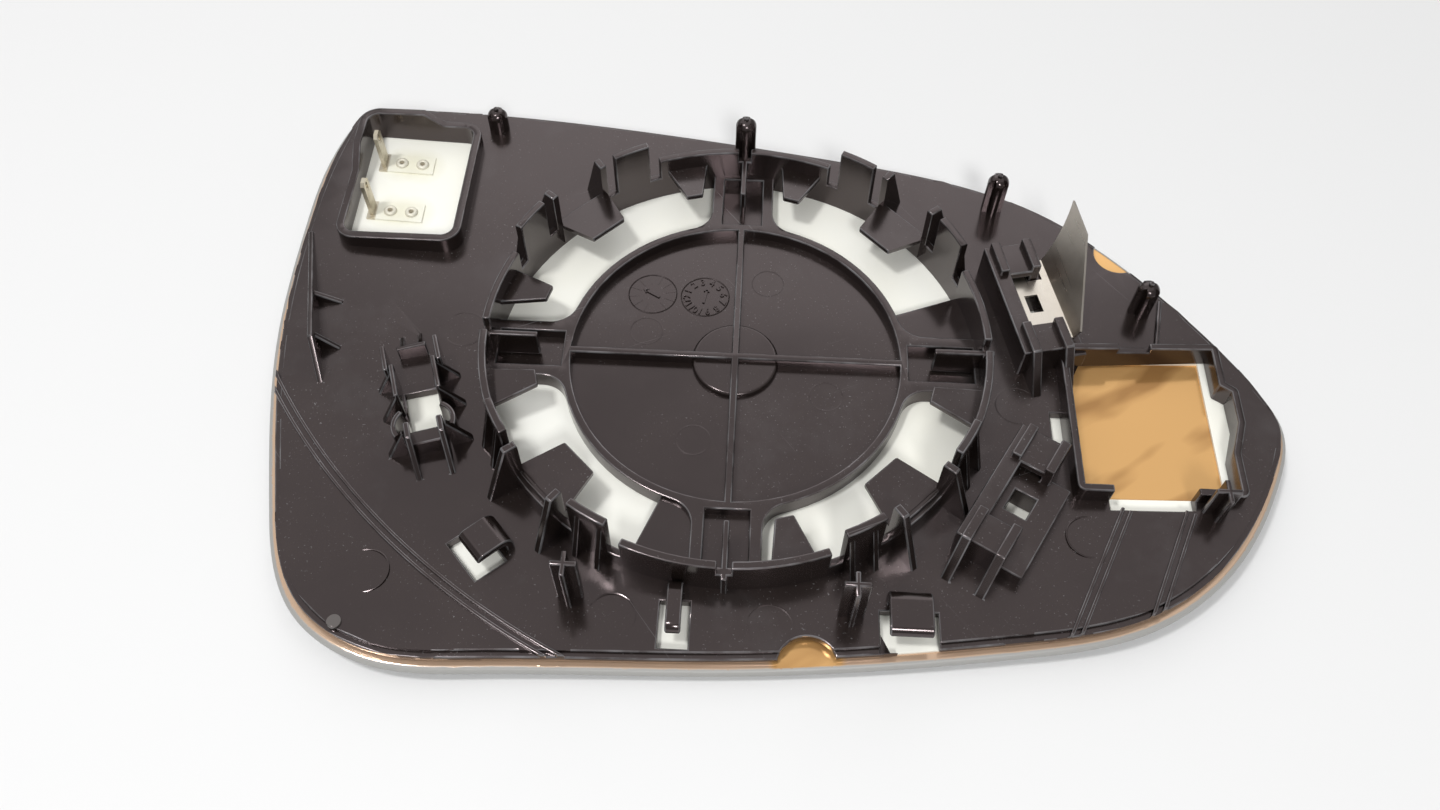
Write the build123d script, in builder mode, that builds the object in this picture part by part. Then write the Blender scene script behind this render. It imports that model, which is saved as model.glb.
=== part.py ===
"""Car door mirror glass seen from its back: curved glass, heater mat and snap-ring carrier plate.

The glass lies on its front. The origin is on the snap ring's axis, at the lowest point of the glass
front, with X along the glass, Y across it and Z up, away from the glass.
"""

import os
from math import atan2, cos, degrees, hypot, radians, sin, sqrt

from build123d import *

os.makedirs("parts", exist_ok=True)

# Layers, from the glass front upwards
GLASS_CURVE = 1400.0
GLASS_THICK = 2.0
MAT_THICK = 0.5
PLATE_THICK = 2.0
GLASS_MARGIN = 1.7
GLASS_EDGE_ROUND = 0.9
MAT_INSET = 0.4
PLATE_STEP = 1.0
PLATE_STEP_DEPTH = 0.7

# Edge of the carrier plate, from its upper left corner round by the tip on the right
PLATE_EDGE = (
    (-80.0, 60.5),
    (-60.0, 61.4),
    (-20.0, 58.9),
    (22.0, 52.5),
    (60.0, 40.0),
    (85.0, 15.2),
    (96.6, -3.5),
    (98.8, -10.5),
    (96.0, -21.0),
    (85.0, -38.2),
    (70.0, -49.0),
    (50.0, -53.8),
    (0.0, -59.2),
    (-40.0, -61.0),
    (-56.0, -60.9),
    (-70.0, -53.5),
    (-79.0, -33.0),
    (-86.3, 2.0),
    (-87.3, 30.0),
    (-84.6, 53.5),
)

# Snap ring: wall, arcs beside the spokes, fingers, cheeks and the wall between them
QUARTERS = 4
QUARTER_TURN = 360.0 / QUARTERS
RING_INNER = 45.5
RING_WALL = 1.5
RING_RISE = 4.2
ARC_SPAN = 22.0
ARC_RISE = 9.0
KEY_SLOT = 2.4
FINGER_START = 24.7
FINGER_END = 34.0
FINGER_RISE = 13.9
FINGER_RIB_ANGLES = (25.9, 31.2)
FINGER_RIB_WIDTH = 1.0
FINGER_RIB_RISE = 11.5
FINGER_RIB_FOOT = 49.5
CHEEK_ANGLE = 7.5
CHEEK_WIDTH = 1.4
CHEEK_RISE = 13.2
CHEEK_SHOULDER = 48.0
CHEEK_FOOT = 52.7
SILL_INNER = 44.4
SILL_RISE = 5.4

# Sprung tabs inside the snap ring
TAB_THICK = 1.2
TAB_ROOT = 45.8
TAB_TIP = 37.0
TAB_ROOT_RISE = 5.5
TAB_TIP_RISE = 6.8
BIG_TAB_ROOT_ANGLE = 7.8
BIG_TAB_TIP_ANGLE = 6.1
SMALL_TAB_ROOT = (9.6, 20.0)
SMALL_TAB_TIP = (12.6, 17.7)
WEB_EDGE = 21.5

# Adjuster disc, its spokes and key ribs
DISC_RADIUS = 32.5
RIM_WALL = 1.6
RIM_RISE = 2.2
CROSS_WIDTH = 1.4
BOSS_RADIUS = 8.2
BOSS_RISE = 1.1
BOSS_ROUND = 0.7
SPOKE_WIDTH = 12.4
SPOKE_POCKET = 7.8
POCKET_END = 44.6
SPOKE_FILLET = 5.0
KEY_WIDTH = 1.1
KEY_START = 36.8
KEY_END = 47.8
KEY_RISE = 6.5

# Posts
POST_RADIUS = 2.1
POST_WALL = 1.5
POST_DOME = 1.7
POST_TIP_RADIUS = 0.5
POST_TIP_RISE = 0.7
POST_UPPER_LEFT = (-53.0, 57.0)
POST_UPPER_LEFT_RISE = 5.0
POST_UPPER_RIGHT = (51.0, 40.0)
POST_UPPER_RIGHT_RISE = 9.4
POST_FAR_RIGHT = (77.3, 14.5)
POST_FAR_RIGHT_RISE = 8.0
POST_CENTRE = (0.0, 50.0)
POST_CENTRE_RISE = 13.0
CROSS_POST_ARM = 4.4
CROSS_POST_WALL = 0.9
CROSS_POST_LEFT = (-25.4, -49.3)
CROSS_POST_MIDDLE = (21.2, -50.5)
CROSS_POST_RISE = 12.5
CROSS_POST_RIGHT = (84.0, -29.0)
CROSS_POST_RIGHT_RISE = 7.5

# Harness hooks over windows in the plate
HOOK_RISE = 3.8
HOOK_STRAP = 1.5
HOOK_ROUND = 2.4
HOOK_LEFT = (-37.9, -38.6)
HOOK_LEFT_ANGLE = 222.0
HOOK_LEFT_LENGTH = 7.0
HOOK_LEFT_WIDTH = 6.3
HOOK_RIGHT = (30.8, -46.8)
HOOK_RIGHT_ANGLE = 270.0
HOOK_RIGHT_LENGTH = 8.0
HOOK_RIGHT_WIDTH = 7.2
HOOK_SMALL = (-7.9, -46.7)
HOOK_SMALL_ANGLE = 270.0
HOOK_SMALL_LENGTH = 9.3
HOOK_SMALL_WIDTH = 2.6
HOOK_WINDOW_START = 2.8
HOOK_WINDOW_SIDE = 1.2
HOOK_WINDOW_END = 1.8

# Terminal box, open down to the heater mat
BOX_LEFT = -80.8
BOX_RIGHT = -55.7
BOX_FRONT = 22.5
BOX_BACK = 55.4
BOX_WALL = 1.7
BOX_ROUND = 4.0
BOX_RISE = 2.9
BOX_HIGH_RISE = 6.0
BOX_HIGH_RIGHT = -67.6
BOX_LOW_RIGHT = -63.9
BOX_HIGH_FRONT = 45.2
BOX_LOW_FRONT = 40.2

# Heater terminals and their rivets
TERMINAL_ROWS = (46.5, 33.5)
TERMINAL_BLADE = -75.8
TERMINAL_FOOT_LEFT = -76.8
TERMINAL_FOOT_RIGHT = -65.6
TERMINAL_FOOT_WIDTH = 4.6
TERMINAL_THICK = 0.8
TERMINAL_SHEET = 0.4
BLADE_WIDTH = 2.8
BLADE_RISE = 9.0
BLADE_TIP = 0.7
BLADE_SLOT_WIDTH = 0.9
BLADE_SLOT_LENGTH = 2.2
BLADE_SLOT_TOP = 1.6
RIVET_COLUMNS = (-72.3, -68.0)
RIVET_FLANGE = 1.35
RIVET_HEAD = 0.45
RIVET_SHANK = 0.8
RIVET_BORE = 0.5
RIVET_CLEARANCE = 0.1
RIVET_END_GAP = 0.1

# Fin on the left edge, with two gussets
FIN_BACK = (-86.0, 25.0)
FIN_FRONT = (-76.3, -10.2)
FIN_WIDTH = 1.0
FIN_PEAK_FROM_FRONT = 6.6
FIN_PEAK_RISE = 6.0
FIN_BACK_RISE = 0.5
FIN_GUSSETS = ((17.0, 5.2), (28.0, 4.2))
FIN_GUSSET_RISE = 4.8

# Clip seats: two of the same form, across (x) and along (y) from each seat's own corner
SEAT_RIGHT = (52.8, -0.2)
SEAT_RIGHT_ANGLE = 12.8
SEAT_LOWER = (38.4, -37.2)
SEAT_LOWER_ANGLE = -30.7
SEAT_WALL = 3.2
SEAT_NEAR = -0.5
SEAT_FAR = 25.0
SEAT_GAP_START = 5.7
SEAT_GAP_END = 17.8
SEAT_BLOCK_EDGE = 9.0
SEAT_BLOCK_RISE = 6.6
SEAT_FLOOR_EDGE = 12.8
SEAT_FLOOR_END = 19.2
SEAT_FLOOR_RISE = 3.5
SEAT_WINDOW_CENTRE = (6.5, 12.1)
SEAT_WINDOW_SIZE = (4.0, 4.5)
SEAT_SLOT_DEPTH = 4.2
SEAT_SLOT_RISE = 1.6
RAIL_WIDTH = 1.8
RAIL_RISE = 8.0
RAIL_COLUMNS = (2.0, 8.2)
SEAT_SLOT_EDGE = RAIL_COLUMNS[-1] - RAIL_WIDTH / 2
RAIL_START = -1.2
RAIL_LEG = 5.0

# Spring clip on the right-hand seat
CLIP_SHEET = 0.5
CLIP_CLEARANCE = 0.25
CLIP_EDGE = 11.4
CLIP_EAR_START = 3.3
CLIP_EAR_END = 22.2
CLIP_HOLE_SIZE = (2.6, 4.1)
CLIP_LEAF_ANGLE = 60.0
CLIP_LEAF_HEEL = 2.0
CLIP_LEAF_SHOULDER = (19.5, 11.4)
CLIP_LEAF_TIP = (27.7, 11.8)
CLIP_LEAF_WAIST = (23.6, 5.2)

# Left seat: a cluster of thin walls, along (x) and across (y) from the middle of its back bar
LEFT_SEAT = (-60.2, -3.0)
LEFT_SEAT_ANGLE = -71.1
LEFT_WALL = 0.9
LEFT_WALL_RISE = 7.0
LEFT_BAR = (0.9, 5.4)
LEFT_BAR_RISE = 3.2
LEFT_BAR_RIB_OFFSET = 1.65
LEFT_BAR_RIB_START = -5.2
LEFT_OUTER_WALL = (1.1, 6.6)
LEFT_OUTER_OFFSET = 4.8
LEFT_INNER_WALL = (5.6, 12.6)
LEFT_INNER_OFFSET = 3.75
LEFT_GUSSET_ROWS = (6.2, 12.6, 20.4)
LEFT_GUSSET_FOOT = 7.6
LEFT_GUSSET_WIDTH = 1.2
LEFT_CURVE_START = (15.5, 3.5)
LEFT_CURVE_MIDDLE = (18.0, 5.2)
LEFT_CURVE_END = (20.4, 4.9)
LEFT_CURVE_RISE = 6.0
LEFT_LOW_BAR = (18.6, 21.4)
LEFT_LOW_BAR_RISE = 3.5
LEFT_LEG_OFFSET = 2.9
LEFT_LEG_WIDTH = 1.1
LEFT_LEG_TOP = 21.9
LEFT_LEG_FOOT = 26.8
LEFT_WINDOW = (8.0, 17.4)
LEFT_WINDOW_WIDTH = 5.8

# Frame round the blind-spot window, and the slot beside it
FRAME_LEFT = 61.6
FRAME_RIGHT = 88.3
FRAME_BACK_LEFT = 2.5
FRAME_BACK_RIGHT = 3.6
FRAME_FRONT = -25.9
FRAME_WALL = 1.4
FRAME_RISE = 3.4
FRAME_JOG = 2.0
FRAME_JOG_ROWS = (-18.4, -12.0, -5.6, -4.2)
FRAME_NOTCH = (71.3, 77.0)
FRAME_NOTCH_DEPTH = 1.3
FRAME_GAP = (66.5, 81.0)
FRAME_GAP_FRONT = -29.0
MAT_WINDOW_LEFT = 60.4
MAT_WINDOW_RIGHT = 87.2
SLOT_CENTRE = (59.2, -12.4)
SLOT_SIZE = (2.2, 6.5)
STEP_START = (79.1, 5.0)
STEP_END = (81.5, 16.5)
STEP_WIDTH = 0.8
STEP_RISE = 0.8

# Half-round cuts in the plate edge, and the gate mark
CUT_LOWER = (14.2, -59.6)
CUT_LOWER_RADIUS = 5.0
CUT_UPPER = (75.2, 28.6)
CUT_UPPER_RADIUS = 4.6
CUT_MAT_MARGIN = 0.8
GATE = (-63.0, -56.6)
GATE_RADIUS = 1.2
GATE_RISE = 0.3

# Double beads on the plate
BEAD_WIDTH = 2.0
BEAD_GROOVE = 0.8
BEAD_RISE = 0.5
BEAD_LEFT = ((-87.0, -6.5), (-60.0, -38.2), (-24.0, -61.7))
BEAD_INNER = ((69.2, -29.0), (57.4, -53.5))
BEAD_OUTER = ((80.0, -29.4), (70.6, -50.5))

# Levels and reaches worked out from the sizes above
MAT_LEVEL = GLASS_THICK
BASE_LEVEL = MAT_LEVEL + MAT_THICK
PLATE_LEVEL = BASE_LEVEL + PLATE_THICK
RING_OUTER = RING_INNER + RING_WALL
PAD_LEVEL = GLASS_CURVE - sqrt((GLASS_CURVE - PLATE_LEVEL) ** 2 - (CHEEK_FOOT + CHEEK_WIDTH) ** 2)
CEILING = PLATE_LEVEL + 2 * (FINGER_RISE + FIN_PEAK_RISE)
REACH = max(hypot(x, y) for x, y in PLATE_EDGE) + 5 * GLASS_MARGIN


def height(level: float, place: tuple[float, float]) -> float:
    """Height, at a place in plan, of the curved layer that is a given level above the glass front."""
    return GLASS_CURVE - sqrt((GLASS_CURVE - level) ** 2 - place[0] ** 2 - place[1] ** 2)


def polar(radius: float, angle: float) -> tuple[float, float]:
    """Place in plan at a radius and an angle from the ring's axis."""
    return radius * cos(radians(angle)), radius * sin(radians(angle))


def heading(start: tuple[float, float], end: tuple[float, float]) -> float:
    """Angle of the line from one place to another."""
    return degrees(atan2(end[1] - start[1], end[0] - start[0]))


def upright(angle: float, origin: tuple[float, float] = (0, 0)) -> Plane:
    """Vertical plane whose first axis runs out at an angle and whose second axis is up."""
    outward = (*polar(1, angle), 0)
    across = (*polar(1, angle - QUARTER_TURN), 0)
    return Plane(origin=(*origin, 0), x_dir=outward, z_dir=across)


def bowl(level: float, floor: float = 0) -> Part:
    """Space above the curved layer at a given level, and above a floor where that is higher."""
    start = max(level, floor)
    flat = sqrt((GLASS_CURVE - level) ** 2 - (GLASS_CURVE - start) ** 2)
    middle = ((flat + REACH) / 2, height(level, ((flat + REACH) / 2, 0)))
    end = (REACH, height(level, (REACH, 0)))
    with BuildPart() as space:
        with BuildSketch(Plane.XZ):
            with BuildLine():
                ThreePointArc((flat, start), middle, end)
                Polyline(end, (REACH, CEILING), (0, CEILING), (0, start))
                if flat:
                    Line((0, start), (flat, start))
            make_face()
        revolve(axis=Axis.Z)
    return space.part


def rooted(pieces: list[Part], place: Location = Location()) -> Part:
    """Pieces joined at a place, cut off half-way down into the plate that carries them."""
    with BuildPart() as group:
        with Locations(place):
            add(pieces)
        add(bowl(BASE_LEVEL + PLATE_THICK / 2), mode=Mode.INTERSECT)
    return group.part


def outline(margin: float) -> Sketch:
    """Plate outline, grown by a margin square to its edge."""
    edge = Edge.make_spline([Vector(*place) for place in PLATE_EDGE], periodic=True)
    places = []
    for place in PLATE_EDGE:
        along = edge.tangent_at(edge.param_at_point(place))
        places.append((place[0] - margin * along.Y, place[1] + margin * along.X))
    with BuildSketch() as shape:
        with BuildLine():
            Spline(*places, periodic=True)
        make_face()
    return shape.sketch


def wall(start: tuple[float, float], end: tuple[float, float], width: float, top: float) -> Part:
    """Straight upright wall along a line in plan, up to a height."""
    with BuildPart() as piece:
        with BuildSketch():
            with Locations(((start[0] + end[0]) / 2, (start[1] + end[1]) / 2)):
                length = hypot(end[0] - start[0], end[1] - start[1])
                Rectangle(length, width, rotation=heading(start, end))
        extrude(amount=top)
    return piece.part


def block(corner: tuple[float, float], opposite: tuple[float, float], top: float) -> Part:
    """Upright block between two opposite corners in plan, up to a height."""
    with BuildPart() as piece:
        with BuildSketch():
            with Locations(corner):
                size = (opposite[0] - corner[0], opposite[1] - corner[1])
                Rectangle(*size, align=(Align.MIN, Align.MIN))
        extrude(amount=top)
    return piece.part


def rib(plane: Plane, profile: list[tuple[float, float]], width: float) -> Part:
    """Upright rib with a profile drawn in a vertical plane."""
    with BuildPart() as piece:
        with BuildSketch(plane):
            Polygon(*profile)
        extrude(amount=width / 2, both=True)
    return piece.part


def sector(start: float, finish: float) -> Sketch:
    """Wedge in plan from the ring's axis, between two angles."""
    far = 2 * RING_OUTER
    with BuildSketch() as shape:
        Polygon((0, 0), polar(far, start), polar(far, (start + finish) / 2), polar(far, finish))
    return shape.sketch


def ring_wall() -> Part:
    """Round wall cut down to arcs beside the spokes, fingers, and gaps for the big tabs."""
    with BuildPart() as piece:
        with BuildSketch():
            Circle(RING_OUTER)
            Circle(RING_INNER, mode=Mode.SUBTRACT)
        extrude(amount=PLATE_LEVEL + FINGER_RISE)
        for quarter in range(QUARTERS):
            axis = quarter * QUARTER_TURN
            with BuildSketch(Plane.XY.offset(PLATE_LEVEL + ARC_RISE)):
                add(sector(axis - ARC_SPAN, axis + ARC_SPAN))
            extrude(amount=CEILING, mode=Mode.SUBTRACT)
            with BuildSketch(Plane.XY.offset(PLATE_LEVEL + KEY_RISE)):
                with Locations(polar(RING_INNER, axis)):
                    Rectangle(4 * RING_WALL, KEY_SLOT, rotation=axis)
            extrude(amount=CEILING, mode=Mode.SUBTRACT)
            with BuildSketch(Plane.XY.offset(PLATE_LEVEL + RING_RISE)):
                add(sector(axis + ARC_SPAN, axis + FINGER_START))
                add(sector(axis - FINGER_START, axis - ARC_SPAN))
                add(sector(axis + FINGER_END, axis + QUARTER_TURN - FINGER_END))
            extrude(amount=CEILING, mode=Mode.SUBTRACT)
    return piece.part


def sill(start: float, finish: float) -> Part:
    """Low wall that carries a big tab between its cheeks."""
    with BuildPart() as piece:
        with BuildSketch():
            Circle(RING_INNER + RING_WALL / 2)
            Circle(SILL_INNER, mode=Mode.SUBTRACT)
            add(sector(start, finish), mode=Mode.INTERSECT)
        extrude(amount=PLATE_LEVEL + SILL_RISE)
    return piece.part


def tab(angle: float, root: tuple[float, float], tip: tuple[float, float]) -> Part:
    """Sprung tab that reaches inwards and a little upwards from the ring."""
    corners = [polar(TAB_ROOT, root[0]), polar(TAB_ROOT, root[1])]
    corners += [polar(TAB_TIP, tip[1]), polar(TAB_TIP, tip[0])]
    root_top = PLATE_LEVEL + TAB_ROOT_RISE
    tip_top = PLATE_LEVEL + TAB_TIP_RISE
    with BuildPart() as piece:
        with BuildSketch():
            Polygon(*corners)
        extrude(amount=CEILING)
        with BuildSketch(upright(angle)):
            with BuildLine():
                Polyline(
                    (RING_OUTER, root_top),
                    (TAB_TIP - TAB_THICK, tip_top),
                    (TAB_TIP - TAB_THICK, tip_top - TAB_THICK),
                    (RING_OUTER, root_top - TAB_THICK),
                    close=True,
                )
            make_face()
        extrude(amount=RING_INNER, both=True, mode=Mode.INTERSECT)
    return piece.part


def finger_rib(angle: float) -> Part:
    """Sloped rib that backs a finger."""
    foot = (FINGER_RIB_FOOT, PAD_LEVEL)
    profile = [(RING_INNER, 0), (RING_INNER, PLATE_LEVEL + FINGER_RIB_RISE)]
    profile += [(RING_OUTER, PLATE_LEVEL + FINGER_RIB_RISE), foot, (FINGER_RIB_FOOT, 0)]
    return rib(upright(angle), profile, FINGER_RIB_WIDTH)


def cheek(angle: float) -> Part:
    """Radial cheek beside a big tab, sloping out to its foot on the plate."""
    top = PLATE_LEVEL + CHEEK_RISE
    foot = (CHEEK_FOOT, PAD_LEVEL)
    profile = [(RING_INNER, 0), (RING_INNER, top), (CHEEK_SHOULDER, top), foot, (CHEEK_FOOT, 0)]
    return rib(upright(angle), profile, CHEEK_WIDTH)


def ring_quarter(axis: float) -> list[Part]:
    """Snap ring pieces round one spoke and up to the next diagonal."""
    diagonal = axis + QUARTER_TURN / 2
    big_root = (diagonal - BIG_TAB_ROOT_ANGLE, diagonal + BIG_TAB_ROOT_ANGLE)
    big_tip = (diagonal - BIG_TAB_TIP_ANGLE, diagonal + BIG_TAB_TIP_ANGLE)
    pieces = [sill(*big_root), tab(diagonal, big_root, big_tip)]
    for side in (-1, 1):
        pieces.append(cheek(diagonal + side * CHEEK_ANGLE))
        for angle in FINGER_RIB_ANGLES:
            pieces.append(finger_rib(axis + side * angle))
        if (axis, side) not in ((0, 1), (3 * QUARTER_TURN, -1)):
            root = sorted(axis + side * angle for angle in SMALL_TAB_ROOT)
            tip = sorted(axis + side * angle for angle in SMALL_TAB_TIP)
            pieces.append(tab(axis + side * sum(SMALL_TAB_TIP) / 2, root, tip))
    key_top = PLATE_LEVEL + KEY_RISE
    key = [(KEY_START, 0), (KEY_START, key_top), (KEY_END, key_top), (KEY_END, 0)]
    pieces.append(rib(upright(axis), key, KEY_WIDTH))
    return pieces


def hub_outline() -> Sketch:
    """Adjuster disc with its four spokes, filleted where they meet."""
    with BuildSketch() as shape:
        Circle(DISC_RADIUS)
        with PolarLocations(0, QUARTERS):
            Rectangle(RING_INNER + RING_WALL / 2, SPOKE_WIDTH, align=(Align.MIN, Align.CENTER))
        inner = shape.vertices().filter_by(lambda corner: hypot(corner.X, corner.Y) < RING_INNER)
        fillet(inner, SPOKE_FILLET)
    return shape.sketch


def hub_recess() -> Sketch:
    """Four quarters of the disc's floor and the pockets in the spokes."""
    with BuildSketch() as shape:
        Circle(DISC_RADIUS - RIM_WALL)
        Rectangle(2 * DISC_RADIUS, CROSS_WIDTH, mode=Mode.SUBTRACT)
        Rectangle(CROSS_WIDTH, 2 * DISC_RADIUS, mode=Mode.SUBTRACT)
        with PolarLocations(DISC_RADIUS, QUARTERS):
            Rectangle(POCKET_END - DISC_RADIUS, SPOKE_POCKET, align=(Align.MIN, Align.CENTER))
    return shape.sketch


def hub() -> Part:
    """Rim, cross and spoke edges that stand round the disc's floor."""
    with BuildPart() as piece:
        with BuildSketch():
            add(hub_outline())
            add(hub_recess(), mode=Mode.SUBTRACT)
        extrude(amount=PLATE_LEVEL + RIM_RISE)
    return piece.part


def boss() -> Part:
    """Rounded boss in the middle of the disc."""
    with BuildPart() as piece:
        with BuildSketch(Plane.XY.offset(PLATE_LEVEL - PLATE_THICK / 4)):
            Circle(BOSS_RADIUS)
        extrude(amount=PLATE_THICK / 4 + BOSS_RISE)
        fillet(piece.edges().sort_by(Axis.Z)[-1], BOSS_ROUND)
    return piece.part


def snap_ring() -> Part:
    """Snap ring, rim and spokes, cut off level inside the plate's flat pad."""
    with BuildPart() as ring:
        add(ring_wall())
        add(hub())
        for quarter in range(QUARTERS):
            add(ring_quarter(quarter * QUARTER_TURN))
        with BuildSketch(Plane.XY.offset(PAD_LEVEL - PLATE_THICK / 4)):
            Circle(REACH)
        extrude(amount=CEILING, mode=Mode.INTERSECT)
    return ring.part


def ring_windows() -> Sketch:
    """Openings between the disc, the spokes and the ring, less the two webs."""
    with BuildSketch() as shape:
        Circle(RING_INNER)
        add(hub_outline(), mode=Mode.SUBTRACT)
        for axis, edge in (0, WEB_EDGE), (3 * QUARTER_TURN, -WEB_EDGE):
            far = 2 * RING_INNER
            Polygon((0, 0), polar(far, axis), polar(far, axis + edge), mode=Mode.SUBTRACT)
    return shape.sketch


def post(place: tuple[float, float], rise: float) -> Part:
    """Cross-shaped post with a domed top and a small tip."""
    top = height(PLATE_LEVEL, place) + rise
    with BuildPart() as piece:
        with BuildSketch():
            with Locations(place):
                Circle(POST_RADIUS)
        extrude(amount=top)
        fillet(piece.edges().sort_by(Axis.Z)[-1], POST_DOME)
        with BuildSketch():
            with Locations(place):
                Rectangle(REACH, POST_WALL)
                Rectangle(POST_WALL, REACH)
        extrude(amount=top, mode=Mode.INTERSECT)
        with BuildSketch():
            with Locations(place):
                Circle(POST_TIP_RADIUS)
        extrude(amount=top + POST_TIP_RISE)
    return piece.part


def cross_post(place: tuple[float, float], rise: float) -> Part:
    """Post with a cross-shaped section."""
    with BuildPart() as piece:
        with BuildSketch():
            with Locations(place):
                Rectangle(CROSS_POST_ARM, CROSS_POST_WALL)
                Rectangle(CROSS_POST_WALL, CROSS_POST_ARM)
        extrude(amount=height(PLATE_LEVEL, place) + rise)
    return piece.part


def hook(place: tuple[float, float], angle: float, length: float, width: float) -> Part:
    """Rounded strap that rises from its root and reaches out over a window."""
    top = height(PLATE_LEVEL, place) + HOOK_RISE
    with BuildPart() as piece:
        with BuildSketch(upright(angle, place)):
            with BuildLine():
                Polyline((HOOK_STRAP, 0), (0, 0), (0, top - HOOK_ROUND))
                RadiusArc((0, top - HOOK_ROUND), (HOOK_ROUND, top), HOOK_ROUND)
                Line((HOOK_ROUND, top), (length - HOOK_STRAP, top))
                RadiusArc((length - HOOK_STRAP, top), (length, top - HOOK_STRAP), HOOK_STRAP)
                Line((length, top - HOOK_STRAP), (HOOK_ROUND, top - HOOK_STRAP))
                RadiusArc(
                    (HOOK_ROUND, top - HOOK_STRAP),
                    (HOOK_STRAP, top - HOOK_ROUND),
                    HOOK_STRAP - HOOK_ROUND,
                )
                Line((HOOK_STRAP, top - HOOK_ROUND), (HOOK_STRAP, 0))
            make_face()
        extrude(amount=width / 2, both=True)
    return piece.part


def hook_window(place: tuple[float, float], angle: float, length: float, width: float) -> Sketch:
    """Window in the plate under a hook."""
    reach = length + HOOK_WINDOW_END - HOOK_WINDOW_START
    middle = HOOK_WINDOW_START + reach / 2
    centre = (place[0] + polar(middle, angle)[0], place[1] + polar(middle, angle)[1])
    with BuildSketch() as shape:
        with Locations(centre):
            Rectangle(reach, width + 2 * HOOK_WINDOW_SIDE, rotation=angle)
    return shape.sketch


def terminal_box() -> Part:
    """Walls of the terminal box, raised at its back left corner."""
    centre = ((BOX_LEFT + BOX_RIGHT) / 2, (BOX_FRONT + BOX_BACK) / 2)
    base = height(PLATE_LEVEL, centre)
    low = base + BOX_RISE
    high = base + BOX_HIGH_RISE
    with BuildPart() as piece:
        with BuildSketch():
            with Locations(centre):
                RectangleRounded(BOX_RIGHT - BOX_LEFT, BOX_BACK - BOX_FRONT, BOX_ROUND)
            offset(amount=-BOX_WALL, mode=Mode.SUBTRACT)
        extrude(amount=high)
        with BuildSketch(Plane.XZ):
            Polygon((BOX_HIGH_RIGHT, high), (BOX_LOW_RIGHT, low), (0, low), (0, high))
        extrude(amount=REACH, both=True, mode=Mode.SUBTRACT)
        with BuildSketch(Plane.YZ):
            Polygon((BOX_HIGH_FRONT, high), (BOX_LOW_FRONT, low), (0, low), (0, high))
        extrude(amount=REACH, both=True, mode=Mode.SUBTRACT)
    return piece.part


def box_window() -> Sketch:
    """Opening in the plate inside the terminal box."""
    with BuildSketch() as shape:
        with Locations(((BOX_LEFT + BOX_RIGHT) / 2, (BOX_FRONT + BOX_BACK) / 2)):
            RectangleRounded(BOX_RIGHT - BOX_LEFT, BOX_BACK - BOX_FRONT, BOX_ROUND)
        offset(amount=-BOX_WALL, mode=Mode.REPLACE)
    return shape.sketch


def fin() -> list[Part]:
    """Tapered fin along the left edge, with its gussets."""
    angle = heading(FIN_BACK, FIN_FRONT)
    length = hypot(FIN_FRONT[0] - FIN_BACK[0], FIN_FRONT[1] - FIN_BACK[1])
    front = height(PLATE_LEVEL, FIN_FRONT)
    back = height(PLATE_LEVEL, FIN_BACK)
    peak = (length - FIN_PEAK_FROM_FRONT, front + FIN_PEAK_RISE)
    side = [(0, 0), (0, back + FIN_BACK_RISE), peak, (length, front), (length, 0)]
    pieces = [rib(upright(angle, FIN_BACK), side, FIN_WIDTH)]
    for along, reach in FIN_GUSSETS:
        foot = tuple(start + step for start, step in zip(FIN_BACK, polar(along, angle)))
        base = height(PLATE_LEVEL, foot)
        rise = FIN_GUSSET_RISE * along / peak[0]
        pieces.append(rib(upright(0, foot), [(0, 0), (0, base + rise), (reach, base), (reach, 0)], FIN_WIDTH))
    return pieces


def clip_seat() -> list[Part]:
    """Clip seat in its own frame: floor, wall, end blocks and rails with sloped legs."""
    base = height(PLATE_LEVEL, SEAT_RIGHT)
    floor = base + SEAT_FLOOR_RISE
    top = base + SEAT_BLOCK_RISE
    rail = base + RAIL_RISE
    with BuildPart() as body:
        add(block((0, SEAT_NEAR), (SEAT_FLOOR_EDGE, SEAT_FLOOR_END), floor))
        add(block((0, SEAT_NEAR), (SEAT_WALL, SEAT_FAR), top))
        add(block((0, SEAT_NEAR), (SEAT_BLOCK_EDGE, SEAT_GAP_START), top))
        add(block((0, SEAT_GAP_END), (SEAT_BLOCK_EDGE, SEAT_FAR), top))
        with BuildSketch():
            with Locations(SEAT_WINDOW_CENTRE):
                Rectangle(*SEAT_WINDOW_SIZE)
        extrude(amount=CEILING, mode=Mode.SUBTRACT)
        with BuildSketch(Plane.XY.offset(floor)):
            add(seat_slot(0))
        extrude(amount=SEAT_SLOT_RISE, mode=Mode.SUBTRACT)
    pieces = [body.part]
    for column in RAIL_COLUMNS:
        plane = upright(QUARTER_TURN, (column, 0))
        leg = [(RAIL_START - RAIL_LEG, 0), (RAIL_START - RAIL_LEG, base), (RAIL_START, rail)]
        pieces.append(rib(plane, leg + [(SEAT_GAP_START, rail), (SEAT_GAP_START, 0)], RAIL_WIDTH))
        far = [(SEAT_GAP_END, 0), (SEAT_GAP_END, rail), (SEAT_FAR, rail), (SEAT_FAR, 0)]
        pieces.append(rib(plane, far, RAIL_WIDTH))
    return pieces


def seat_slot(clearance: float) -> Sketch:
    """Stretch between a seat's wall and its outer rail that reaches in under both end blocks."""
    length = SEAT_GAP_END - SEAT_GAP_START + 2 * SEAT_SLOT_DEPTH
    with BuildSketch() as shape:
        with Locations(((SEAT_WALL + SEAT_SLOT_EDGE) / 2, (SEAT_GAP_START + SEAT_GAP_END) / 2)):
            Rectangle(SEAT_SLOT_EDGE - SEAT_WALL - 2 * clearance, length - 2 * clearance)
    return shape.sketch


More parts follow.
